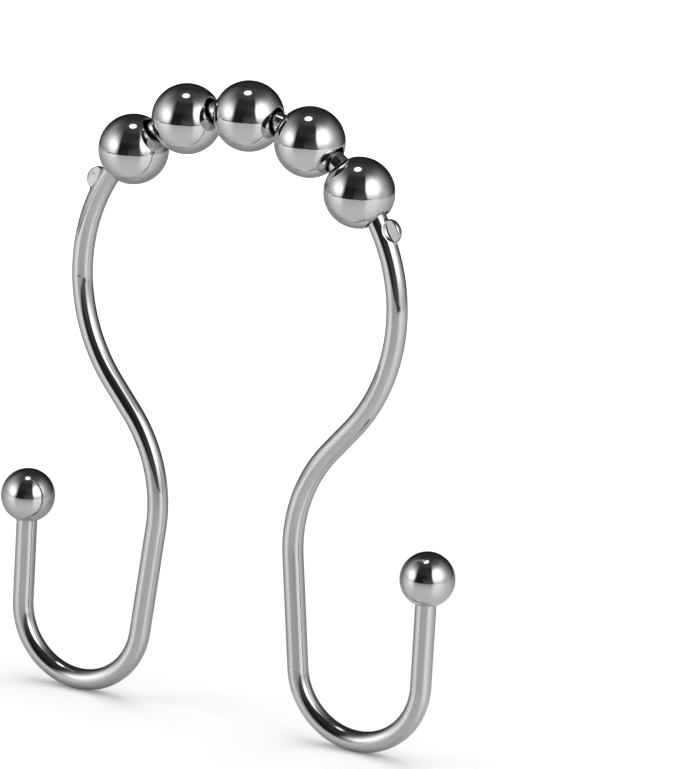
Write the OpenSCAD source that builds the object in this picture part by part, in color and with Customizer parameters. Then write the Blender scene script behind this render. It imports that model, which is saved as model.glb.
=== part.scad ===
// Double shower curtain hook with five rolling balls
// One round wire is bent in a plane: an arch that rides over the rod, and two
// mirrored legs that come in to a waist, run down and turn out and up in a J.
// Five bored balls are strung loosely on the arch, so that they roll on the rod.
// An ear pinched into the wire below the last ball on each side keeps them there.
// A smaller ball is set on each end of the wire.
// The origin is the centre of the arch, X runs across the hook, Y along the rod.

/* [Wire] */
// Diameter of the round wire
wire_d = 3; // [2.4:0.1:3.2]
// Radius of the arch over the rod, at the middle of the wire
arch_r = 25.5; // [24:0.1:30]
// Angle from the top of the arch to the end of its curve, in degrees
arch_angle = 130.5; // [124:0.5:136]
// Length of the straight slope between the arch and the waist
slope_l = 4.9; // [3:0.1:9]
// Radius of the bend at the waist, at the middle of the wire
waist_r = 21.2; // [15:0.1:26]
// Outward lean of the lower leg, in degrees
leg_lean = 6.4; // [3:0.1:9]
// Length of the straight lower leg
leg_l = 16.1; // [10:0.1:26]
// Radius of the J at the foot of the leg, at the middle of the wire
foot_r = 9.9; // [8.5:0.1:12]
// Length of the straight riser, from the J to the underside of the end ball
riser_l = 11.8; // [8:0.1:20]

/* [Roller balls] */
// Diameter of a roller ball
roller_d = 10; // [9:0.1:10.4]
// Running clearance round the wire where the bore is tightest
roller_play = 0.2; // [0.15:0.01:0.35]
// Width of the bevel where the bore leaves the ball
roller_bevel = 0.15; // [0.1:0.01:0.3]
// Gap between neighbouring balls
roller_gap = 0.12; // [0.1:0.01:0.4]
// Distance that the string of balls has rolled towards the front leg
roller_shift = 0.3; // [0:0.05:0.3]

/* [Stop ears] */
// Distance that an ear stands out past the wire
ear_proud = 1.4; // [1:0.1:1.6]
// Radius of the outline of an ear
ear_r = 1.8; // [1.6:0.1:2.2]
// Thickness of an ear where it was pinched flat
ear_t = 1.2; // [1:0.1:1.6]
// Rounding of the edge of an ear
ear_edge_r = 0.35; // [0.2:0.05:0.5]
// Depth of the oval hollow that the punch left in each face
hollow_depth = 0.15; // [0.1:0.05:0.3]
// Width of the oval hollow, across the wire
hollow_w = 1.65; // [1.4:0.05:1.9]
// Width of the rim outside the hollow
ear_rim = 0.25; // [0.2:0.05:0.4]
// Gap between an ear and the last ball while the string is centred
ear_gap = 0.45; // [0.45:0.05:1.2]

/* [End balls] */
// Diameter of the ball on each end of the wire
end_ball_d = 7.8; // [6.6:0.1:9]
// Depth of the socket that the wire fills, from the underside of the ball
end_socket_l = 3.6; // [2.5:0.1:5]
// Radial clearance between the wire and its socket
end_socket_fit = 0.02; // [0.01:0.01:0.05]
// Width of the bevel at the mouth of the socket
end_bevel = 0.15; // [0.1:0.05:0.3]

/* [Hidden] */
$fn = 96;
roller_count = 5;
wire_r = wire_d / 2;
roller_r = roller_d / 2;
end_ball_r = end_ball_d / 2;
CHROME = [0.80, 0.81, 0.82];

// Headings are degrees clockwise from +X: 0 runs right along the top of the
// arch, 90 runs straight down and -90 runs straight up.
// Direction of travel for a heading
function along(heading) = [cos(heading), -sin(heading)];
// Direction to the left of travel, away from the centre of a clockwise curve
function outward(heading) = [sin(heading), cos(heading)];

// Each straight laps into the bends beside it, and is slimmer than they are by a
// hundredth of a millimetre, so that its ends lie wholly inside them.
straight_lap = 0.3;
straight_slimmer = 0.01;
straight_r = wire_r - straight_slimmer;

// The front leg, from the end of the arch to the middle of its end ball
leg_heading = 90 - leg_lean;
rise_heading = -90;
arch_end = arch_r * outward(arch_angle);
slope_end = arch_end + slope_l * along(arch_angle);
waist_centre = slope_end + waist_r * outward(arch_angle);
waist_end = waist_centre - waist_r * outward(leg_heading);
leg_end = waist_end + leg_l * along(leg_heading);
foot_centre = leg_end + foot_r * outward(leg_heading);
foot_end = foot_centre - foot_r * outward(rise_heading);
end_ball_centre = foot_end + (riser_l + end_ball_r) * along(rise_heading);

// The wire is curved and the bore is straight, so half of the curve's rise over
// the length of the bore is taken up by setting each ball towards the rod.
curve_rise = arch_r - sqrt(arch_r * arch_r - roller_r * roller_r);
roller_inset = curve_rise / 2;
bore_r = wire_r + roller_inset + roller_play;
roller_ring_r = arch_r - roller_inset;
roller_step = 2 * asin((roller_d + roller_gap) / 2 / roller_ring_r);
last_roller_angle = (roller_count - 1) / 2 * roller_step;
roller_shift_angle = roller_shift / arch_r * 180 / PI;
function roller_angle(i) = i * roller_step - last_roller_angle + roller_shift_angle;

// Each ear sits its gap below the last ball of a centred string. The angle between
// them comes from the triangle of the arch's, the ball's and the ear's centres.
ear_ring_r = arch_r + wire_r + ear_proud - ear_r;
ear_reach = roller_r + ear_r + ear_gap;
ear_step = acos((roller_ring_r * roller_ring_r + ear_ring_r * ear_ring_r - ear_reach * ear_reach)
                / (2 * roller_ring_r * ear_ring_r));
ear_angle = last_roller_angle + ear_step;
socket_r = wire_r + end_socket_fit;

// The hollow is an oval of four arcs: two ends on a circle inside the rim, and two
// flank arcs that leave a share of the width at those ends. The punch is as deep
// as the wire, so it also cuts the side of the wire that it overlaps.
hollow_end_r = ear_r - ear_rim;
hollow_half_w = hollow_w / 2;
hollow_end_share = 0.35;
flank_inset = (1 - hollow_end_share) * hollow_half_w;
flank_r = (hollow_end_r * hollow_end_r + flank_inset * flank_inset) / (2 * flank_inset);
hollow_ring_r = arch_r + wire_r + ear_proud - ear_rim - hollow_half_w;
edge_facets = 32;

// A straight length of wire from a point along a heading, and past its end
module run(from, heading, length, past = straight_lap)
    translate([from.x, from.y, 0])
        rotate([0, 90, -heading])
            translate([0, 0, -straight_lap])
                cylinder(r = straight_r, h = straight_lap + length + past);

// An arc of wire about a centre, from a start angle through a sweep
module bend(centre, radius, start, sweep)
    translate([centre.x, centre.y, 0])
        rotate([0, 0, start])
            rotate_extrude(angle = sweep)
                translate([radius, 0])
                    circle(r = wire_r);

// Half of the wire below the arch
module leg() {
    run(arch_end, arch_angle, slope_l);
    bend(waist_centre, waist_r, -90 - arch_angle, arch_angle - leg_heading);
    run(waist_end, leg_heading, leg_l);
    bend(foot_centre, foot_r, -90 - leg_heading, leg_heading - rise_heading);
    run(foot_end, rise_heading, riser_l, end_socket_l);
}

// A disc with rounded edges, lying flat
module rounded_disc(radius, thickness, edge_r)
    rotate_extrude() {
        translate([0, -thickness / 2])
            square([radius - edge_r, thickness]);
        translate([0, edge_r - thickness / 2])
            square([radius, thickness - 2 * edge_r]);
        for (side = [-1, 1])
            translate([radius - edge_r, side * (thickness / 2 - edge_r)])
                circle(r = edge_r, $fn = edge_facets);
    }

// The flat-ended oval punch that hollows one face of an ear, long along Y
module punch()
    linear_extrude(height = wire_d)
        intersection() {
            circle(r = hollow_end_r);
            translate([flank_r - hollow_half_w, 0])
                circle(r = flank_r);
            translate([hollow_half_w - flank_r, 0])
                circle(r = flank_r);
        }

// Places a child on the arch, at an angle from its top and at a radius
module on_arch(angle, radius)
    rotate([0, 0, -angle])
        translate([0, radius, 0])
            rotate([0, 0, 90])
                children();

// The whole bent wire, drawn flat and then stood up
module wire_frame()
    color(CHROME)
        rotate([90, 0, 0])
            difference() {
                union() {
                    bend([0, 0], arch_r, 90 - arch_angle, 2 * arch_angle);
                    for (side = [0, 1])
                        mirror([side, 0, 0]) {
                            leg();
                            on_arch(ear_angle, ear_ring_r)
                                rounded_disc(ear_r, ear_t, ear_edge_r);
                        }
                }
                for (side = [0, 1], face = [0, 1])
                    mirror([side, 0, 0])
                        mirror([0, 0, face])
                            on_arch(ear_angle, hollow_ring_r)
                                translate([0, 0, ear_t / 2 - hollow_depth])
                                    punch();
            }

// Half the outline of a round hole that leaves a ball through its top, with a
// bevelled mouth. The bevel runs on outside the ball.
module hole_outline(radius, hole_r, bevel, start) {
    bevel_y = sqrt(radius * radius - (hole_r + bevel) * (hole_r + bevel)) - bevel;
    top = radius + bevel;
    polygon([[0, start], [hole_r, start], [hole_r, bevel_y], [hole_r + top - bevel_y, top], [0, top]]);
}

// Half the outline of a ball
module ball_outline(radius)
    intersection() {
        circle(r = radius);
        translate([0, -radius])
            square([radius, 2 * radius]);
    }

// One ball with its bore along Z
module bored_ball()
    rotate_extrude()
        difference() {
            ball_outline(roller_r);
            for (end = [0, 1])
                mirror([0, end])
                    hole_outline(roller_r, bore_r, roller_bevel, 0);
        }

// Ball number i of the string, counted from the back leg
module roller_ball(i)
    color(CHROME)
        rotate([90, 0, 0])
            on_arch(roller_angle(i), roller_ring_r)
                rotate([90, 0, 0])
                    bored_ball();

// A ball with a blind socket that opens downwards
module end_ball()
    rotate_extrude()
        difference() {
            ball_outline(end_ball_r);
            mirror([0, 1])
                hole_outline(end_ball_r, socket_r, end_bevel, end_ball_r - end_socket_l);
        }

// The ball on the tip of the front or the back leg
module end_ball_at(side)
    color(CHROME)
        translate([side * end_ball_centre.x, 0, end_ball_centre.y])
            end_ball();

wire_frame();
roller_ball(0);  // roller_ball_1
roller_ball(1);  // roller_ball_2
roller_ball(2);  // roller_ball_3
roller_ball(3);  // roller_ball_4
roller_ball(4);  // roller_ball_5
end_ball_at(1);  // end_ball_front
end_ball_at(-1);  // end_ball_back
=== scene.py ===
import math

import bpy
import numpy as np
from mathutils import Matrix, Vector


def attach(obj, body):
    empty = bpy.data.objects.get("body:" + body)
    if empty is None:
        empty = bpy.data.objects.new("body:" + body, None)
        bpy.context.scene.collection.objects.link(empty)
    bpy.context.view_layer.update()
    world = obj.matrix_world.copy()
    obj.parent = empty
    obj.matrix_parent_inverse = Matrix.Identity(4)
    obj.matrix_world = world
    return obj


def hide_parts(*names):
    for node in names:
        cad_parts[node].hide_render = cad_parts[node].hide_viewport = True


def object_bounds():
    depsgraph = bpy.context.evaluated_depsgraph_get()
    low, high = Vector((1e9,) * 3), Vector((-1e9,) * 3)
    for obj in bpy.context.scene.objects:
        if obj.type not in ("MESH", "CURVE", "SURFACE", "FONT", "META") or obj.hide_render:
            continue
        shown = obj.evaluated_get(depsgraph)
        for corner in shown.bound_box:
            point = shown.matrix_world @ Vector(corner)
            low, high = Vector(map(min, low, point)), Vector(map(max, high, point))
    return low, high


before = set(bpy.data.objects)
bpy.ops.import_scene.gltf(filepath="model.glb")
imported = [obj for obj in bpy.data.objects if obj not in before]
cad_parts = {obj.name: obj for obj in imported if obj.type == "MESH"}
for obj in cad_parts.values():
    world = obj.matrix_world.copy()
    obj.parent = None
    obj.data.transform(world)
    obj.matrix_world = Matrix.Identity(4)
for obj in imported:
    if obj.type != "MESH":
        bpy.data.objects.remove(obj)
cad_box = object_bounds()

# %% [markdown]
# # A double shower curtain hook in bright chrome
# The hook is one bent steel wire. Its arch carries a loose string of bored balls that roll along the
# curtain rod, a stop ear is pinched into the wire at each end of the string, and each tip wears a smaller
# ball. All of it is plated with bright chrome, so what the eye sees is mostly a picture of the room.
# The frame holds the measured solids. A mirror finish shows every facet of a solid, so this lesson lays a
# finely computed smooth surface over each one, in the same place and of the same size.

MM = 0.001
print("CAD box in mm:", [[round(v / MM, 2) for v in corner] for corner in cad_box])

# %% [markdown]
# ## Sizes
# Every length below is in millimetres and every angle in degrees. They are the sizes of the solids. The drawn
# surfaces lie two thousandths of a millimetre (SKIN) within them, so that they stay inside the solids' box.

# %% Sizes of the wire, the balls and the ears
WIRE_R = 1.5
ARCH_R, ARCH_ANGLE = 25.5, 130.5
SLOPE_L = 4.9
WAIST_R, LEG_HEADING = 21.2, 83.6
LEG_L = 16.1
FOOT_R = 9.9
RISER_L, SOCKET_L = 11.8, 3.6
ROLLER_R, ROLLER_PLAY, ROLLER_GAP, ROLLER_SHIFT, ROLLERS = 5.0, 0.2, 0.12, 0.3, 5
END_R, END_FIT = 3.9, 0.02
LIP_R = 0.15
SKIN = 0.002
EAR_PROUD, EAR_R, EAR_T, EAR_EDGE, EAR_RIM, EAR_GAP = 1.4, 1.8, 1.2, 0.35, 0.25, 0.45
HOLLOW_DEPTH, HOLLOW_W, HOLLOW_END_SHARE = 0.15, 1.65, 0.35
print("in mm, the wire is", 2 * WIRE_R, "thick, a roller", 2 * ROLLER_R, "and an end ball", 2 * END_R)

# %% Places that follow from the sizes
bore_inset = (ARCH_R - math.sqrt(ARCH_R**2 - ROLLER_R**2)) / 2
BORE_R = WIRE_R + bore_inset + ROLLER_PLAY
RING_R = ARCH_R - bore_inset
roller_step = 2 * math.degrees(math.asin((2 * ROLLER_R + ROLLER_GAP) / 2 / RING_R))
roller_angles = (np.arange(ROLLERS) - (ROLLERS - 1) / 2) * roller_step + math.degrees(ROLLER_SHIFT / ARCH_R)
EAR_RING_R = ARCH_R + WIRE_R + EAR_PROUD - EAR_R
ear_reach = ROLLER_R + EAR_R + EAR_GAP
ear_step = math.degrees(math.acos((RING_R**2 + EAR_RING_R**2 - ear_reach**2) / (2 * RING_R * EAR_RING_R)))
EAR_ANGLE = (ROLLERS - 1) / 2 * roller_step + ear_step
print("rollers at", np.round(roller_angles, 2), "degrees, ears at", round(EAR_ANGLE, 2))

# %% [markdown]
# ## The line of the wire
# The hook is bent from one straight wire, so its middle line is a chain of arcs and straights. A Bezier curve
# could follow that line, but it only comes near a true arc. Here a heading says which way the wire runs: 0 runs
# right along the top of the arch, 90 runs straight down and -90 runs straight up. On an arc, each point is the
# arc's centre plus or minus its radius times the outward direction of the heading, so a whole arc is one line
# of array arithmetic. The other half of the hook is the mirror image of this one.

# %% Directions, arcs and straights
def outward(heading):
    """The direction to the left of travel: (sin h, cos h) for a heading h."""
    h = np.radians(heading)
    return np.stack([np.sin(h), np.cos(h)], -1)


def along(heading):
    """The direction of travel: (cos h, -sin h) for a heading h."""
    h = np.radians(heading)
    return np.stack([np.cos(h), -np.sin(h)], -1)


def arc(centre, radius, headings):
    """Points of an arc: centre + radius x outward(h), with a radius below zero where the wire bends left."""
    return centre + radius * outward(headings), headings


def straight(start, heading, length, spacing=1.5):
    """Points of a straight: start + l x along(h), for l from 0 to the length."""
    l = np.linspace(0, length, int(length / spacing) + 2)
    return start + l[:, None] * along(heading), np.full(len(l), heading)


print("a heading of 90 degrees runs along", along(90).round(3).tolist())

# %% The chain of the front half, with finer steps round the ear
BEND_SPACING, EAR_SPACING, EAR_ZONE, ZONE_GAP = 0.5, 0.06, 3.6, 0.5
WAIST_POINTS, FOOT_POINTS = 40, 76
ear_zone = math.degrees(EAR_ZONE / EAR_RING_R)
plain = np.arange(0, ARCH_ANGLE, math.degrees(BEND_SPACING / ARCH_R))
plain = plain[np.abs(plain - EAR_ANGLE) > ear_zone + ZONE_GAP]
fine = np.arange(EAR_ANGLE - ear_zone, EAR_ANGLE + ear_zone, math.degrees(EAR_SPACING / EAR_RING_R))
arch_headings = np.sort(np.concatenate([plain, fine, [ARCH_ANGLE]]))
arch = arc(np.zeros(2), ARCH_R, arch_headings)
slope = straight(arch[0][-1], ARCH_ANGLE, SLOPE_L)
waist_centre = slope[0][-1] + WAIST_R * outward(ARCH_ANGLE)
waist = arc(waist_centre, -WAIST_R, np.linspace(ARCH_ANGLE, LEG_HEADING, WAIST_POINTS))
leg = straight(waist[0][-1], LEG_HEADING, LEG_L)
foot_centre = leg[0][-1] + FOOT_R * outward(LEG_HEADING)
foot = arc(foot_centre, -FOOT_R, np.linspace(LEG_HEADING, -90, FOOT_POINTS))
riser = straight(foot[0][-1], -90, RISER_L + SOCKET_L)
half_points = np.concatenate([arch[0]] + [part[0][1:] for part in (slope, waist, leg, foot, riser)])
half_headings = np.concatenate([arch[1]] + [part[1][1:] for part in (slope, waist, leg, foot, riser)])
print(len(half_points), "points on half of the wire, lowest at", round(foot_centre[1] - FOOT_R - WIRE_R, 2), "mm")

# %% The whole line, from the back tip over the arch to the front tip
CLOSE, FAR = 0.001, 99.0
line = np.concatenate([half_points[:0:-1] * [-1, 1], half_points])
headings = np.concatenate([-half_headings[:0:-1], half_headings])
steps = np.hypot(*np.diff(line, axis=0).T)
travelled = np.concatenate([[0], np.cumsum(steps)])
on_arch = (np.abs(np.hypot(*line.T) - ARCH_R) < CLOSE) & (np.abs(headings) < ARCH_ANGLE + CLOSE)
from_ear = np.where(on_arch, np.radians(np.abs(headings) - EAR_ANGLE) * EAR_RING_R, FAR)
print("the wire is", round(travelled[-1], 1), "mm long")

# %% [markdown]
# ## The pinched wire
# After bending, a press squeezes the outer side of the wire between two oval punches. The metal spreads into a
# flat ear with a hollow in each face, and flows back into round wire on both sides without a seam. A tube with
# a changing section gives that flow. The section before the punch is described by how far a point lies outside
# the metal: a round rod and a rounded disc are joined with a soft fillet. From a middle inside the section, rays
# go out all round, and halving an interval again and again finds where each ray leaves the metal. All rays of
# all sections are halved together, as one array. Then the punches come down: they only press points sideways.

# %% How far a point lies outside the metal, before the punch
FILLET = 0.3
EAR_OUT = EAR_RING_R - ARCH_R


def soft_max(a, b, width):
    """The larger of a and b, with its corner rounded: b + (a - b) h + width h (1 - h), where h runs from 0 to 1
    while a - b runs from -width to width."""
    h = np.clip(0.5 + 0.5 * (a - b) / width, 0, 1)
    return b + (a - b) * h + width * h * (1 - h)


def outside_metal(run, out, side):
    """Distance outside the wire and its ear, below zero within them. run is measured along the wire from the
    middle of the ear, out away from the arch's centre and side along the rod.
    Rod: sqrt(out^2 + side^2) less the wire's radius. Ear: a disc with rounded edges, EAR_OUT from the rod's line."""
    rod = np.hypot(out, side) - WIRE_R
    rim = np.hypot(run, out - EAR_OUT) - EAR_R + EAR_EDGE
    face = np.abs(side) - EAR_T / 2 + EAR_EDGE
    ear = np.hypot(np.maximum(rim, 0), np.maximum(face, 0)) + np.minimum(np.maximum(rim, face), 0) - EAR_EDGE
    return -soft_max(-rod, -ear, FILLET)


print("the rod's middle is", round(-float(outside_metal(FAR, 0, 0)), 2), "mm inside the metal, and the ear's",
      round(-float(outside_metal(0, EAR_OUT, 0)), 2))

# %% Radii of every section, found by halving
AROUND, DENSER_OUTSIDE, REACH, HALVINGS = 128, 0.5, 4.0, 30
even = np.arange(AROUND) * 2 * math.pi / AROUND
turn = even - DENSER_OUTSIDE * np.sin(even)
middle = EAR_OUT * np.clip(1 - (from_ear / EAR_ZONE) ** 2, 0, 1) ** 2
near, far = np.zeros((len(line), AROUND)), np.full((len(line), AROUND), REACH)
for _ in range(HALVINGS):
    half = (near + far) / 2
    inside = outside_metal(from_ear[:, None], middle[:, None] + half * np.cos(turn), half * np.sin(turn)) < 0
    near, far = np.where(inside, half, near), np.where(inside, far, half)
print("section radii from", round(near.min(), 3), "to", round(near.max(), 3), "mm")

# %% The oval punches
HOLLOW_END_R = EAR_R - EAR_RIM
HOLLOW_OUT = WIRE_R + EAR_PROUD - EAR_RIM - HOLLOW_W / 2
flank_inset = (1 - HOLLOW_END_SHARE) * HOLLOW_W / 2
FLANK_R = (HOLLOW_END_R**2 + flank_inset**2) / (2 * flank_inset)
FLANK_OUT = FLANK_R - HOLLOW_W / 2
PUNCH_SLOPE, PUNCH_ROUND, PUNCH_EDGE = 5.0, 0.12, 0.08


def outside_oval(run, out):
    """Distance outside the oval of the hollow: the largest of its distances outside the end circle and outside
    the two flank circles."""
    out = out - HOLLOW_OUT
    flanks = np.maximum(np.hypot(run, out - FLANK_OUT), np.hypot(run, out + FLANK_OUT)) - FLANK_R
    return soft_max(np.hypot(run, out) - HOLLOW_END_R, flanks, PUNCH_ROUND)


def punched(run, out, side):
    """The side of a point after the punches: the smaller of its own and the punch's surface, which is flat inside
    the oval and rises at PUNCH_SLOPE outside it, with a rounded corner."""
    bottom = EAR_T / 2 - HOLLOW_DEPTH
    punch = bottom + soft_max(PUNCH_SLOPE * outside_oval(run, out), 0.0, PUNCH_ROUND * PUNCH_SLOPE / 2)
    return np.sign(side) * -soft_max(-np.abs(side), -punch, PUNCH_EDGE)


print("each hollow is", HOLLOW_W, "mm wide,", 2 * HOLLOW_END_R, "mm long and", HOLLOW_DEPTH, "mm deep")

# %% [markdown]
# ## From grids to meshes
# A grid of points becomes a mesh by joining each point to its neighbours. A bored ball closes on itself like a
# ring. The wire, the end balls and the tent end in single points, where fans of triangles close the holes.
# Spheres, curves and modifiers could build each piece in its own way, but one function treats them all alike.

# %% One function for every surface
def surface(name, grid, ring=False, ends=None, texture=None):
    """A smooth mesh from a grid of points in mm, closed from its last column to its first. Square (i, j) joins
    points (i, j), (i+1, j), (i+1, j+1) and (i, j+1). ring also joins the last row to the first, ends holds
    two points that close the first and the last row with fans, and texture holds row and column coordinates."""
    rows, columns = grid.shape[:2]
    i, j = np.meshgrid(np.arange(rows if ring else rows - 1), np.arange(columns), indexing="ij")
    i2, j2 = (i + 1) % rows, (j + 1) % columns
    squares = np.stack([i * columns + j, i2 * columns + j, i2 * columns + j2, i * columns + j2], -1).reshape(-1, 4)
    points, faces = grid.reshape(-1, 3), squares.tolist()
    if ends is not None:
        points = np.concatenate([points, ends])
        j, j2 = np.arange(columns), (np.arange(columns) + 1) % columns
        last = (rows - 1) * columns
        first_fan = np.stack([np.full(columns, rows * columns), j, j2], -1)
        last_fan = np.stack([last + j, np.full(columns, rows * columns + 1), last + j2], -1)
        faces += first_fan.tolist() + last_fan.tolist()
    mesh = bpy.data.meshes.new(name)
    mesh.from_pydata(points * MM, [], faces)
    mesh.polygons.foreach_set("use_smooth", np.ones(len(faces), bool))
    if texture is not None:
        v, u = texture
        corners = np.zeros((len(mesh.loops), 2), np.float32)
        i, j = np.meshgrid(np.arange(rows - 1), np.arange(columns), indexing="ij")
        u_corner = np.stack([u[j], u[j], u[j + 1], u[j + 1]], -1).reshape(-1)
        v_corner = np.stack([v[i], v[i + 1], v[i + 1], v[i]], -1).reshape(-1)
        corners[: len(u_corner)] = np.stack([u_corner, v_corner], -1)
        mesh.uv_layers.new(name="around_along").data.foreach_set("uv", corners.ravel())
    mesh.update()
    piece = bpy.data.objects.new(name, mesh)
    bpy.context.scene.collection.objects.link(piece)
    triangles = sum(len(p.vertices) - 2 for p in mesh.polygons)
    print(name, "has", triangles, "triangles")
    return piece


# %% The chromed wire
normal = np.insert(outward(headings), 1, 0, axis=1)
sideways = np.array([0.0, 1.0, 0.0])
centre_line = np.insert(line, 1, 0, axis=1)
out_by = middle[:, None] + (near - SKIN) * np.cos(turn)
side_by = punched(from_ear[:, None], out_by, (near - SKIN) * np.sin(turn))
tube = centre_line[:, None] + out_by[..., None] * normal[:, None] + side_by[..., None] * sideways
around_mm = np.arange(AROUND + 1) * 2 * math.pi * WIRE_R / AROUND
wire = surface("chromed_wire", tube, ends=centre_line[[0, -1]], texture=(travelled, around_mm))
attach(wire, "frame")
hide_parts("wire_frame")

# %% [markdown]
# ## Bored balls
# The balls are drilled and then tumbled, which rounds the edge of each hole. A sphere with a hole cut through
# it would leave ragged triangles at that edge, and a mirror finish shows them. So a ball is a profile turned
# about the wire. The profile runs over the ball, rolls over a small lip where the drill broke through, and
# comes back through the bore, so the mesh is a closed ring with no open edge.

# %% Profiles of a bored ball and of a ball with a socket
LIP_POINTS, ROLLER_POINTS, END_POINTS, TURNED_POINTS = 9, 90, 80, 144


def lip_centre(ball_r, hole_r):
    """Middle of the lip's arc. Its radius x is the hole's plus LIP_R, and its height the root of
    (ball_r - LIP_R)^2 - x^2, so that the arc touches the wall of the hole and the ball's surface."""
    x = hole_r + LIP_R
    return np.array([x, math.sqrt((ball_r - LIP_R) ** 2 - x**2)])


def lip(ball_r, hole_r):
    """The lip as (radius, height), from the ball's surface over to the wall of the hole: lip centre plus LIP_R
    times (cos a, sin a), for a from the direction of the ball's middle to straight inwards."""
    centre = lip_centre(ball_r, hole_r)
    a = np.linspace(math.atan2(centre[1], centre[0]), math.pi, LIP_POINTS)
    return centre + LIP_R * np.stack([np.cos(a), np.sin(a)], -1)


def ball(ball_r, low, high, count):
    """The ball's own arc as (radius, height): ball_r (cos a, sin a), for a from low to high."""
    a = np.linspace(low, high, count)
    return ball_r * np.stack([np.cos(a), np.sin(a)], -1)


flipped = [1, -1]
roller_lip = lip(ROLLER_R - SKIN, BORE_R)
touch = math.atan2(roller_lip[0, 1], roller_lip[0, 0])
roller_arc = ball(ROLLER_R - SKIN, -touch, touch, ROLLER_POINTS)[1:-1]
roller_profile = np.concatenate([roller_arc, roller_lip, roller_lip[::-1] * flipped])
end_lip = lip(END_R - SKIN, WIRE_R + END_FIT)
end_touch = math.atan2(end_lip[0, 1], end_lip[0, 0])
end_arc = ball(END_R - SKIN, -end_touch, math.pi / 2, END_POINTS)[1:-1]
socket_floor = SOCKET_L - END_R
socket_wall = np.array([[WIRE_R + END_FIT, socket_floor]])
end_profile = np.concatenate([socket_wall, end_lip[::-1] * flipped, end_arc])
print("profiles of", len(roller_profile), "and", len(end_profile), "points")


# %% Profiles turned about an axis
def turned(name, profile, place, axis, first_side, **how):
    """A surface of revolution: place + height x axis + radius x (cos t first_side + sin t second_side), where the
    second side is the first one crossed with the axis."""
    t = np.arange(TURNED_POINTS) * 2 * math.pi / TURNED_POINTS
    axis, first_side = np.array(axis, float), np.array(first_side, float)
    spokes = np.cos(t)[:, None] * first_side + np.sin(t)[:, None] * np.cross(first_side, axis)
    grid = place + profile[:, 1, None, None] * axis + profile[:, 0, None, None] * spokes
    return surface(name, grid, **how)


# %% The five rollers, from the back leg to the front leg
rollers = []
for number, angle in enumerate(roller_angles, 1):
    forward, up = np.insert(along(angle), 1, 0), np.insert(outward(angle), 1, 0)
    roller = turned(f"chromed_roller_{number}", roller_profile, RING_R * up, forward, up, ring=True)
    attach(roller, f"roller_{number}")
    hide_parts(f"roller_ball_{number}")
    rollers.append(roller)

# %% The two end balls
end_balls = []
for side, name in ((1, "front"), (-1, "back")):
    place = np.array([side * (foot_centre[0] + FOOT_R), 0, foot_centre[1] + RISER_L + END_R])
    poles = place + np.array([[0, 0, socket_floor], [0, 0, END_R - SKIN]])
    end_ball = turned(f"chromed_end_ball_{name}", end_profile, place, [0, 0, 1], [1, 0, 0], ends=poles)
    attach(end_ball, "frame")
    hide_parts(f"end_ball_{name}")
    end_balls.append(end_ball)

# %% [markdown]
# ## Bright chrome
# Decorative chrome is a thin hard layer over nickel over steel. It reflects about six tenths of the light,
# of every colour alike, and is nearly a mirror. What gives it away as metal and not as computer glass are
# small faults: the wire keeps faint lines from the drawing die, a few nicks from handling, and the plating
# is slightly hazier in places. The balls are tumbled before plating, so they have no lines. The faults are far
# finer than any mesh, so noise in the material bends the reflections a little and varies the roughness.

# %% Colours and nodes
def linear(colour):
    """An sRGB hex colour as linear light: c / 12.92 for a small channel c, else ((c + 0.055) / 1.055) ^ 2.4."""
    c = np.array([int(colour[k : k + 2], 16) / 255 for k in (1, 3, 5)])
    return (*np.where(c <= 0.04045, c / 12.92, ((c + 0.055) / 1.055) ** 2.4).tolist(), 1.0)


def add(tree, kind, inputs=None, **settings):
    """Adds one node. settings are its properties. inputs maps a socket's name or number to a value, or to
    another node's output, which is then linked to it."""
    made = tree.nodes.new(kind)
    for name, value in settings.items():
        setattr(made, name, value)
    for name, value in (inputs or {}).items():
        if isinstance(value, bpy.types.NodeSocket):
            tree.links.new(value, made.inputs[name])
        else:
            made.inputs[name].default_value = value
    return made


CHROME, WIRE_CHROME, WHITE = linear("#CBCBCB"), linear("#C6C6C6"), linear("#FFFFFF")
print("chrome reflects", np.round(CHROME[0], 3), "on the balls and", np.round(WIRE_CHROME[0], 3), "on the wire")

# %% Chrome on the balls: nearly a mirror, with slight waves like orange peel
NOISE_LOW, NOISE_HIGH = 0.3, 0.7
BALL_HAZE_MM, BALL_ROUGHNESS = 4.0, (0.02, 0.06)
PEEL_MM, PEEL_DEPTH_MM = 1.6, 0.004


def plated(name, colour, haze_mm, roughness):
    """A chrome material of a colour, whose roughness wanders between two values over patches of haze_mm."""
    material = bpy.data.materials.new(name)
    material.use_nodes = True
    tree = material.node_tree
    shader = tree.nodes["Principled BSDF"]
    shader.inputs["Base Color"].default_value = colour
    shader.inputs["Metallic"].default_value = 1.0
    place = add(tree, "ShaderNodeTexCoord").outputs["Object"]
    haze = add(tree, "ShaderNodeTexNoise", {"Vector": place, "Scale": 1 / (haze_mm * MM), "Detail": 3.0})
    rough = add(tree, "ShaderNodeMapRange", {"Value": haze.outputs["Fac"],
                                             "From Min": NOISE_LOW, "From Max": NOISE_HIGH,
                                             "To Min": roughness[0], "To Max": roughness[1]})
    tree.links.new(rough.outputs["Result"], shader.inputs["Roughness"])
    return material, tree, shader, place


ball_chrome, tree, shader, place = plated("bright_chrome_on_tumbled_steel", CHROME, BALL_HAZE_MM, BALL_ROUGHNESS)
peel = add(tree, "ShaderNodeTexNoise", {"Vector": place, "Scale": 1 / (PEEL_MM * MM), "Detail": 2.0})
waves = add(tree, "ShaderNodeBump", {"Height": peel.outputs["Fac"], "Distance": PEEL_DEPTH_MM * MM,
                                     "Strength": 1.0})
tree.links.new(waves.outputs["Normal"], shader.inputs["Normal"])
for piece in rollers + end_balls:
    piece.data.materials.append(ball_chrome)
print(len(rollers + end_balls), "balls are plated")

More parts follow.
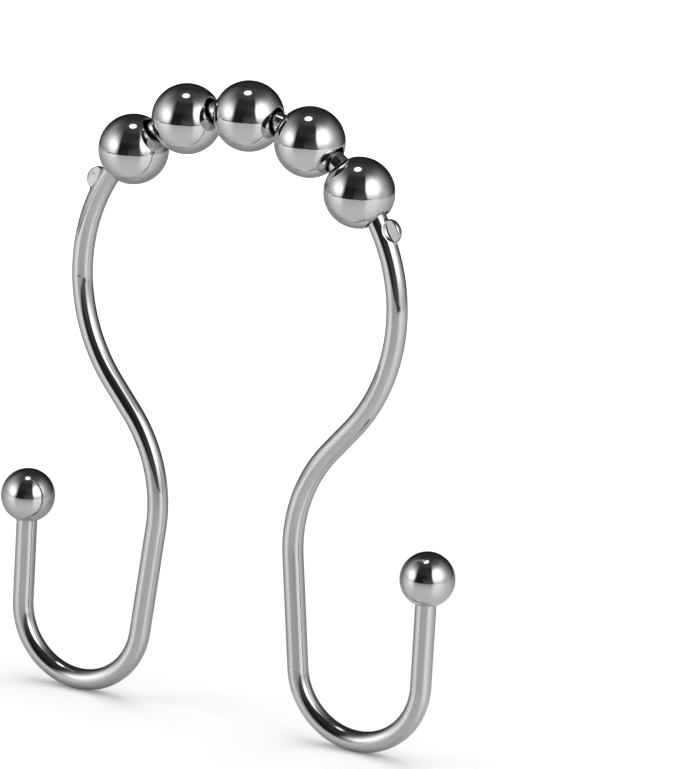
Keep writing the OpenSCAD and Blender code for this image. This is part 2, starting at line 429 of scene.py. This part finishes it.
# %% Chrome on the drawn wire: fine lines along it, and a nick here and there
WIRE_HAZE_MM, WIRE_ROUGHNESS = 6.0, (0.03, 0.09)
DRAWN_MM, DRAWN_RUN_MM, DRAWN_DEPTH_MM = 0.35, 14.0, 0.002
NICK_MM, NICK_FLOOR, NICK_EDGE, NICK_DEPTH_MM, NICK_STRENGTH = 5.0, 0.02, 0.06, 0.02, 0.6
wire_chrome, tree, shader, place = plated("bright_chrome_on_drawn_steel_wire", WIRE_CHROME,
                                          WIRE_HAZE_MM, WIRE_ROUGHNESS)
uv = add(tree, "ShaderNodeUVMap", uv_map="around_along").outputs["UV"]
stretched = add(tree, "ShaderNodeMapping", {"Vector": uv, "Scale": (1 / DRAWN_MM, 1 / DRAWN_RUN_MM, 1.0)})
drawn = add(tree, "ShaderNodeTexNoise", {"Vector": stretched.outputs["Vector"], "Scale": 1.0, "Detail": 3.0})
lines = add(tree, "ShaderNodeBump", {"Height": drawn.outputs["Fac"], "Distance": DRAWN_DEPTH_MM * MM,
                                     "Strength": 1.0})
nick_cells = add(tree, "ShaderNodeTexVoronoi", {"Vector": place, "Scale": 1 / (NICK_MM * MM)})
nick = add(tree, "ShaderNodeMapRange", {"Value": nick_cells.outputs["Distance"], "From Min": NICK_FLOOR,
                                        "From Max": NICK_EDGE, "To Min": 0.0, "To Max": 1.0})
dents = add(tree, "ShaderNodeBump", {"Height": nick.outputs["Result"], "Distance": NICK_DEPTH_MM * MM,
                                     "Strength": NICK_STRENGTH, "Normal": lines.outputs["Normal"]})
tree.links.new(dents.outputs["Normal"], shader.inputs["Normal"])
wire.data.materials.append(wire_chrome)
print("the wire's nicks are about", NICK_EDGE * NICK_MM * 2, "mm across")

# %% [markdown]
# ## The studio
# A chromed thing is lit by what stands round it. In the studio it stands on a pale satin table, with a white
# light dome to each side and a small lamp overhead, and the room in front is dark. The chrome then shows two
# soft bright windows with a dark band between them, over the pale table. A panorama picture could be mirrored
# instead, but a drawn room needs no file and each of its lights can be moved. So the domes, the lamp and the
# dark room are painted on the inside of a large tent that only reflections can see. The lamps light the table,
# which keeps the hook's shadow, and the world is plain white.

# %% The camera's place, found from the photograph
AZIMUTH, ELEVATION, ROLL = 28.65, 14.47, 3.35
OFFSET_MM = np.array([-14.26, -12.95, 890.9])
FOCAL_PX, IMAGE_PX, SENSOR_MM, CLIP_START_M = 6363.6, 769, 36.0, 0.05
azimuth, elevation, roll = np.radians([AZIMUTH, ELEVATION, ROLL])
to_camera = np.array([math.sin(azimuth), -math.cos(azimuth), 0])
level_right = np.array([math.cos(azimuth), math.sin(azimuth), 0])
ahead = -math.cos(elevation) * to_camera - [0, 0, math.sin(elevation)]
level_down = np.cross(ahead, level_right)
right = math.cos(roll) * level_right - math.sin(roll) * level_down
down = math.sin(roll) * level_right + math.cos(roll) * level_down
turned_by = np.array([right, down, ahead])
camera_place = -turned_by.T @ OFFSET_MM
camera = bpy.data.objects.new("camera", bpy.data.cameras.new("camera"))
bpy.context.scene.collection.objects.link(camera)
placed = np.eye(4)
placed[:3, :3] = np.array([right, -down, -ahead]).T
placed[:3, 3] = camera_place * MM
camera.matrix_world = Matrix(placed.tolist())
camera.data.lens = FOCAL_PX * SENSOR_MM / IMAGE_PX
camera.data.sensor_width = SENSOR_MM
camera.data.clip_start = CLIP_START_M
bpy.context.scene.camera = camera
print("the camera is", round(np.linalg.norm(camera_place)), "mm away, with a lens of", round(camera.data.lens), "mm")

# %% [markdown]
# ## What the chrome mirrors
# Each direction has a bearing, which is 0 towards the camera and grows to its right, and a height above the
# horizon, both in degrees. The light from it is the sum of the dark room, a few paler parts of it, the two
# domes and the lamp. Everything has soft edges: a pair below holds the middle and the width of an edge, or of a
# bell. The domes are brightest where their core begins, and sink towards the horizon.

# %% Places and strengths of the lights
DOME_BULGE, DOME_BACK_EDGE, DOME_RISE = 0.006, (140, 50), 27
LEFT_DOME = dict(strength=2.3, side=-1, edge=(54.5, 18), core=78, fade_across=26, middle=18,
                 shoulder=10, fade_up=26, tilt=0.28, low=0.42, rise=3)
RIGHT_DOME = dict(strength=2.6, side=1, edge=(23.5, 11), core=58, fade_across=23, middle=22,
                  shoulder=32.5, fade_up=21, tilt=0.1, low=0.31, rise=9)
ROOM, CEILING, CEILING_EDGE, PEAK, PEAK_EDGE = 0.018, 0.02, (28, 14), 0.035, (64, 10)
CORNER = dict(strength=0.04, start=(0, 40), end=(90, 60), top=(40, 30))
DOORWAY = dict(strength=0.05, start=(-17, 8), end=(60, 60), top=(8, 26))
STREAK, STREAK_WAVES, STREAK_LEVEL = 0.06, ((1.0, 0.53, 0.9), (0.7, 1.31, 2.0)), 0.7
STREAK_TOP, STREAK_TOP_WAVE, STREAK_TOP_SWING, STREAK_SOFT = 4, 0.4, 5, 16
LEFT_WALL, LEFT_WALL_BELL, RIGHT_WALL, RIGHT_WALL_BELL, WALL_TOP = 0.16, (-122, 30), 0.34, (94, 26), (8, 24)
LAMP, LAMP_BEARING, LAMP_HEIGHT, LAMP_ACROSS, LAMP_SOFT = 3.0, -109.0, 84.0, 17.0, 4
print("the domes face the camera from bearings", -LEFT_DOME["edge"][0], "and", RIGHT_DOME["edge"][0])


# %% Soft edges and bells
def eased(x, edge, width):
    """0 below the edge and 1 above it, easing over the width: t t (3 - 2 t)."""
    t = np.clip((x - edge) / width + 0.5, 0, 1)
    return t * t * (3 - 2 * t)


def bell(x, middle, width):
    """1 at the middle, and falling on both sides as exp(-((x - middle) / width)^2)."""
    return np.exp(-(((x - middle) / width) ** 2))


print("an edge eases through", eased(np.linspace(-1, 1, 5), 0, 2).round(2).tolist())


# %% A light dome
def dome(bearing, height, strength, side, edge, core, fade_across, middle, shoulder, fade_up, tilt, low, rise):
    """A light dome, as bright as its strength in its core. Its edge towards the camera bulges by DOME_BULGE x
    (height - middle)^2. Past the core it fades as exp(-x / fade_across), and above the shoulder, which climbs
    outwards by the tilt, as exp(-(y / fade_up)^2). Towards the horizon it sinks to its low share, half of the
    way at the height called rise. side is -1 or 1."""
    outwards = side * bearing
    inner_edge = eased(outwards - DOME_BULGE * (height - middle) ** 2, *edge)
    across = np.exp(-np.maximum(outwards - core, 0) / fade_across) * (1 - eased(outwards, *DOME_BACK_EDGE))
    above = np.maximum(height - shoulder - tilt * (outwards - core), 0)
    up = bell(above, 0, fade_up) * (low + (1 - low) * eased(height, rise, DOME_RISE))
    return strength * inner_edge * across * up


print("the left dome is", round(float(dome(-78.0, 10.0, **LEFT_DOME)), 2), "strong in its core")


# %% The paler parts of the room and the small lamp
def patch(bearing, height, strength, start, end, top):
    """A slightly paler part of the dark room: its strength, times an easing up past the start, an easing down
    past the end, and an easing down past the top."""
    return strength * eased(bearing, *start) * (1 - eased(bearing, *end)) * (1 - eased(height, *top))


def streaks(bearing, height):
    """Faint upright streaks low in the dark room: a sum of sine waves of the bearing, where it is above
    STREAK_LEVEL, below a top that waves too."""
    waves = sum(size * np.sin(rate * bearing + shift) for size, rate, shift in STREAK_WAVES)
    top = STREAK_TOP + STREAK_TOP_SWING * np.sin(STREAK_TOP_WAVE * bearing)
    return STREAK * np.clip(waves - STREAK_LEVEL, 0, 1) * (1 - eased(height, top, STREAK_SOFT))


def small_lamp(bearing, height):
    """The round lamp overhead. The angle from its middle has the cosine sin h sin H + cos h cos H cos(b - B),
    with h and b for a direction and H and B for the lamp's."""
    b, h = np.radians(bearing - LAMP_BEARING), np.radians(height)
    lamp_h = math.radians(LAMP_HEIGHT)
    cosine = np.sin(h) * math.sin(lamp_h) + np.cos(h) * math.cos(lamp_h) * np.cos(b)
    from_lamp = np.degrees(np.arccos(np.clip(cosine, -1, 1)))
    return LAMP * (1 - eased(from_lamp, LAMP_ACROSS / 2, LAMP_SOFT))


print("the lamp is", round(float(small_lamp(LAMP_BEARING, LAMP_HEIGHT)), 2), "strong")


# %% All the light from a direction
def tent_light(bearing, height):
    """Strength of the light from each direction: the sum of the room, its paler parts, the domes and the lamp."""
    room = ROOM + CEILING * eased(height, *CEILING_EDGE) + PEAK * eased(height, *PEAK_EDGE)
    paler = patch(bearing, height, **CORNER) + patch(bearing, height, **DOORWAY) + streaks(bearing, height)
    walls = LEFT_WALL * bell(bearing, *LEFT_WALL_BELL) + RIGHT_WALL * bell(bearing, *RIGHT_WALL_BELL)
    domes = dome(bearing, height, **LEFT_DOME) + dome(bearing, height, **RIGHT_DOME)
    return room + paler + walls * (1 - eased(height, *WALL_TOP)) + domes + small_lamp(bearing, height)


print("the light from the camera's side is", round(float(tent_light(0.0, 0.0)), 3))

# %% The tent: a point for each degree of bearing and height, with its light
TENT_R = 750.0
bearing, height = np.meshgrid(np.arange(-180, 180, 1.0), np.arange(-89, 90, 1.0))
b, h = np.radians([bearing, height])
rays = np.cos(h)[..., None] * (np.cos(b)[..., None] * to_camera + np.sin(b)[..., None] * level_right)
rays[..., 2] = np.sin(h)
poles = np.array([[0, 0, -TENT_R], [0, 0, TENT_R]])
tent = surface("light_tent", rays * TENT_R, ends=poles)
strength = np.append(tent_light(bearing, height).ravel(), tent_light(np.zeros(2), np.array([-90.0, 90.0])))
tent.data.attributes.new("light", "FLOAT", "POINT").data.foreach_set("value", strength.astype(np.float32))
print("tent light from", round(strength.min(), 3), "to", round(strength.max(), 2))

# %% The tent's paint, which only reflections see
tent_paint = bpy.data.materials.new("painted_light_tent")
tent_paint.use_nodes = True
tree = tent_paint.node_tree
tree.nodes.remove(tree.nodes["Principled BSDF"])
light = add(tree, "ShaderNodeAttribute", attribute_name="light")
glow = add(tree, "ShaderNodeEmission", {"Color": WHITE, "Strength": light.outputs["Fac"]})
tree.links.new(glow.outputs["Emission"], tree.nodes["Material Output"].inputs["Surface"])
tent_paint.cycles.emission_sampling = "NONE"
tent.data.materials.append(tent_paint)
for seen_by in ("camera", "diffuse", "shadow", "transmission", "volume_scatter"):
    setattr(tent, f"visible_{seen_by}", False)
print("the tent is hidden from the eye, the lamps and the shadows")

# %% [markdown]
# ## The table
# The table is a disc of satin plastic. Its rim wanders a little, which shows as a wavy horizon in the balls. On the
# side of the camera its rim is painted dark for reflections only, which draws a thin painted dark line along that
# horizon. Three values are stored at its points. The first is painted_reflection_tone, the grey that only the chrome
# sees, which painted light makes paler far out and painted shade makes dimmer behind the hook. The second is the
# share of its gloss, which the painted dark rim lacks. The third is a lift, a glow that only the eye sees, which
# fades the table into the white background far out and is weaker near the hook, a painted soft shade round it. A
# plain square could stand here too, but the chrome would show its straight sides and its corners.

# %% The disc
FLOOR_R, FLOOR_RINGS, FLOOR_SPOKES, FIRST_SHARE, RIM_POWER = 500.0, 60, 144, 0.002, 4
RIM_BEARING = [-180, -80, -33, -21, -9, 3, 12, 21, 30, 60, 180]
RIM_SHARE = [1.0, 1.0, 0.84, 0.92, 1.16, 0.94, 0.86, 1.1, 1.28, 1.1, 1.0]
floor_z = cad_box[0].z / MM
floor_bearing = np.arange(FLOOR_SPOKES) * 360 / FLOOR_SPOKES - 180
share = np.linspace(FIRST_SHARE, 1, FLOOR_RINGS)[:, None]
wander = np.interp(floor_bearing, RIM_BEARING, RIM_SHARE) - 1
radii = FLOOR_R * share * (1 + wander * share**RIM_POWER)
b = np.radians(floor_bearing)
spokes = np.cos(b)[:, None] * to_camera + np.sin(b)[:, None] * level_right
floor = surface("floor", radii[..., None] * spokes + [0, 0, floor_z])
print("the table's rim is", round(radii[-1].min()), "to", round(radii[-1].max()), "mm out, at", round(floor_z, 2))

# %% Painted reflection grey, lift and gloss at the disc's points
# The rim's painted shade is a dark band near the rim on the side of the camera. Only reflections see it, as a thin
# painted dark line along the horizon, and the gloss is taken away there too.
RIM_EDGE, RIM_START, RIM_END, RIM_PAINTED_SHADE = (0.81, 0.05), (-95, 14), (40, 20), 0.92
# painted_reflection_tone is a grey that only reflections see. Painted light makes it paler far out.
TONE, FAR_PAINTED_LIGHT, FAR_PAINTED_LIGHT_EDGE = 0.71, 0.22, (280, 300)
# Painted shade behind the hook, which only reflections see: a share of it near the hook and all of it far out.
BEHIND_PAINTED_SHADE, BEHIND_EDGE, BEHIND_NEAR, BEHIND_FAR_EDGE = 0.38, (115, 80), 0.4, (30, 60)
# The lift is a glow that only the eye sees. It fades the table into the white background far out, and it is weaker
# near the hook, which paints a soft shade round it.
LIFT, MIDDLE_LIFT, MIDDLE_LIFT_EDGE, FAR_LIFT, FAR_LIFT_EDGE = 0.15, 0.08, (95, 90), 0.6, (260, 360)
to_back = eased(np.abs(floor_bearing), *BEHIND_EDGE)
behind = to_back * (BEHIND_NEAR + (1 - BEHIND_NEAR) * eased(radii, *BEHIND_FAR_EDGE))
rim = eased(share, *RIM_EDGE) * eased(floor_bearing, *RIM_START) * (1 - eased(floor_bearing, *RIM_END))
painted_reflection_tones = (TONE + FAR_PAINTED_LIGHT * eased(radii, *FAR_PAINTED_LIGHT_EDGE) - BEHIND_PAINTED_SHADE * behind) * (1 - RIM_PAINTED_SHADE * rim)
lifts_with_painted_shade = LIFT + MIDDLE_LIFT * eased(radii, *MIDDLE_LIFT_EDGE) + FAR_LIFT * eased(radii, *FAR_LIFT_EDGE)
for name, values in (("painted_reflection_tone", painted_reflection_tones), ("lift", lifts_with_painted_shade), ("gloss", 1 - rim)):
    values = values.ravel().astype(np.float32)
    floor.data.attributes.new(name, "FLOAT", "POINT").data.foreach_set("value", values)
print("the table's values run from", round(painted_reflection_tones.min(), 2), "to", round(painted_reflection_tones.max(), 2), "in tone and from",
      round(lifts_with_painted_shade.min(), 2), "to", round(lifts_with_painted_shade.max(), 2), "in lift")

# %% The look of the table: plain pale to the eye, and satin with painted light and shade to the chrome
EYE_TONE, SATIN_ROUGHNESS, SATIN_IOR = 0.8, 0.27, 1.85
satin = bpy.data.materials.new("pale_satin_table")
satin.use_nodes = True
tree = satin.node_tree
tree.nodes.remove(tree.nodes["Principled BSDF"])
seen = add(tree, "ShaderNodeLightPath").outputs["Is Camera Ray"]
painted_reflection_tone = add(tree, "ShaderNodeAttribute", attribute_name="painted_reflection_tone").outputs["Fac"]
lift = add(tree, "ShaderNodeAttribute", attribute_name="lift").outputs["Fac"]
gloss = add(tree, "ShaderNodeAttribute", attribute_name="gloss").outputs["Fac"]
# To the eye the table is EYE_TONE. Reflections see painted_reflection_tone, with its painted light and painted
# shade.
pale = add(tree, "ShaderNodeMapRange", {"Value": seen, "To Min": painted_reflection_tone, "To Max": EYE_TONE})
paint = add(tree, "ShaderNodeBsdfDiffuse", {"Color": pale.outputs["Result"]})
# The lift glows for the eye only. Where it is weaker, near the hook, it is a painted soft shade.
lifted = add(tree, "ShaderNodeMath", {0: seen, 1: lift}, operation="MULTIPLY")
glow = add(tree, "ShaderNodeEmission", {"Color": WHITE, "Strength": lifted.outputs["Value"]})
sheen = add(tree, "ShaderNodeBsdfGlossy", {"Color": WHITE, "Roughness": SATIN_ROUGHNESS})
grazing = add(tree, "ShaderNodeFresnel", {"IOR": SATIN_IOR}).outputs["Fac"]
glossy = add(tree, "ShaderNodeMath", {0: grazing, 1: gloss}, operation="MULTIPLY").outputs["Value"]
hidden = add(tree, "ShaderNodeMapRange", {"Value": seen, "To Min": glossy, "To Max": 0.0})
coated = add(tree, "ShaderNodeMixShader", {0: hidden.outputs["Result"], 1: paint.outputs["BSDF"],
                                           2: sheen.outputs["BSDF"]})
both = add(tree, "ShaderNodeAddShader", {0: coated.outputs["Shader"], 1: glow.outputs["Emission"]})
tree.links.new(both.outputs["Shader"], tree.nodes["Material Output"].inputs["Surface"])
satin.cycles.emission_sampling = "NONE"
floor.data.materials.append(satin)
print("the table's paint is", EYE_TONE, "to the eye, before its lift")

# %% [markdown]
# ## Light
# The world is white for the eye and for reflections, and gives the table a soft fill. Three square lamps stand
# where the overhead light and the two domes are. Reflections don't see them, because the tent shows the domes,
# and without the corners that a square lamp would draw on the chrome.

# %% The world: plain white to the eye and to the chrome, and a soft fill for the floor
FILL = 0.55
world = bpy.data.worlds.new("white_studio")
bpy.context.scene.world = world
world.use_nodes = True
tree = world.node_tree
path = add(tree, "ShaderNodeLightPath").outputs
eye_or_mirror = add(tree, "ShaderNodeMath", {0: path["Is Camera Ray"], 1: path["Is Glossy Ray"]},
                    operation="MAXIMUM").outputs["Value"]
any_of_three = add(tree, "ShaderNodeMath", {0: eye_or_mirror, 1: path["Is Transmission Ray"]},
                   operation="MAXIMUM").outputs["Value"]
level = add(tree, "ShaderNodeMapRange", {"Value": any_of_three, "To Min": FILL, "To Max": 1.0})
tree.nodes["Background"].inputs["Color"].default_value = WHITE
tree.links.new(level.outputs["Result"], tree.nodes["Background"].inputs["Strength"])
print("the world's fill is", FILL)

# %% Soft lamps
LAMPS = {"overhead_lamp": (180, 78, 600, 520, 2.2), "left_dome": (-85, 30, 650, 400, 0.9),
         "right_dome": (50, 30, 650, 400, 0.9)}


def lamp(name, bearing, height, distance_mm, size_mm, power):
    """A square lamp of a power in watts that faces the hook. For a bearing b from the camera and a height h above
    the horizon, it stands at its distance times (cos h (cos b to_camera + sin b level_right) + sin h up)."""
    data = bpy.data.lights.new(name, "AREA")
    data.size = size_mm * MM
    data.energy = power
    made = bpy.data.objects.new(name, data)
    bpy.context.scene.collection.objects.link(made)
    b, h = math.radians(bearing), math.radians(height)
    level_ray = math.cos(b) * to_camera + math.sin(b) * level_right
    made.location = (math.cos(h) * level_ray + [0, 0, math.sin(h)]) * distance_mm * MM
    made.rotation_mode = "QUATERNION"
    made.rotation_quaternion = made.location.to_track_quat("Z", "Y")
    made.visible_glossy = False


for name, values in LAMPS.items():
    lamp(name, *values)
print(len(LAMPS), "lamps, with", round(sum(values[-1] for values in LAMPS.values()), 1), "watts in all")

# %% [markdown]
# ## How it is shown
# The picture is shown as it is lit, with no extra contrast.

# %% View settings
bpy.context.scene.view_settings.view_transform = "Standard"
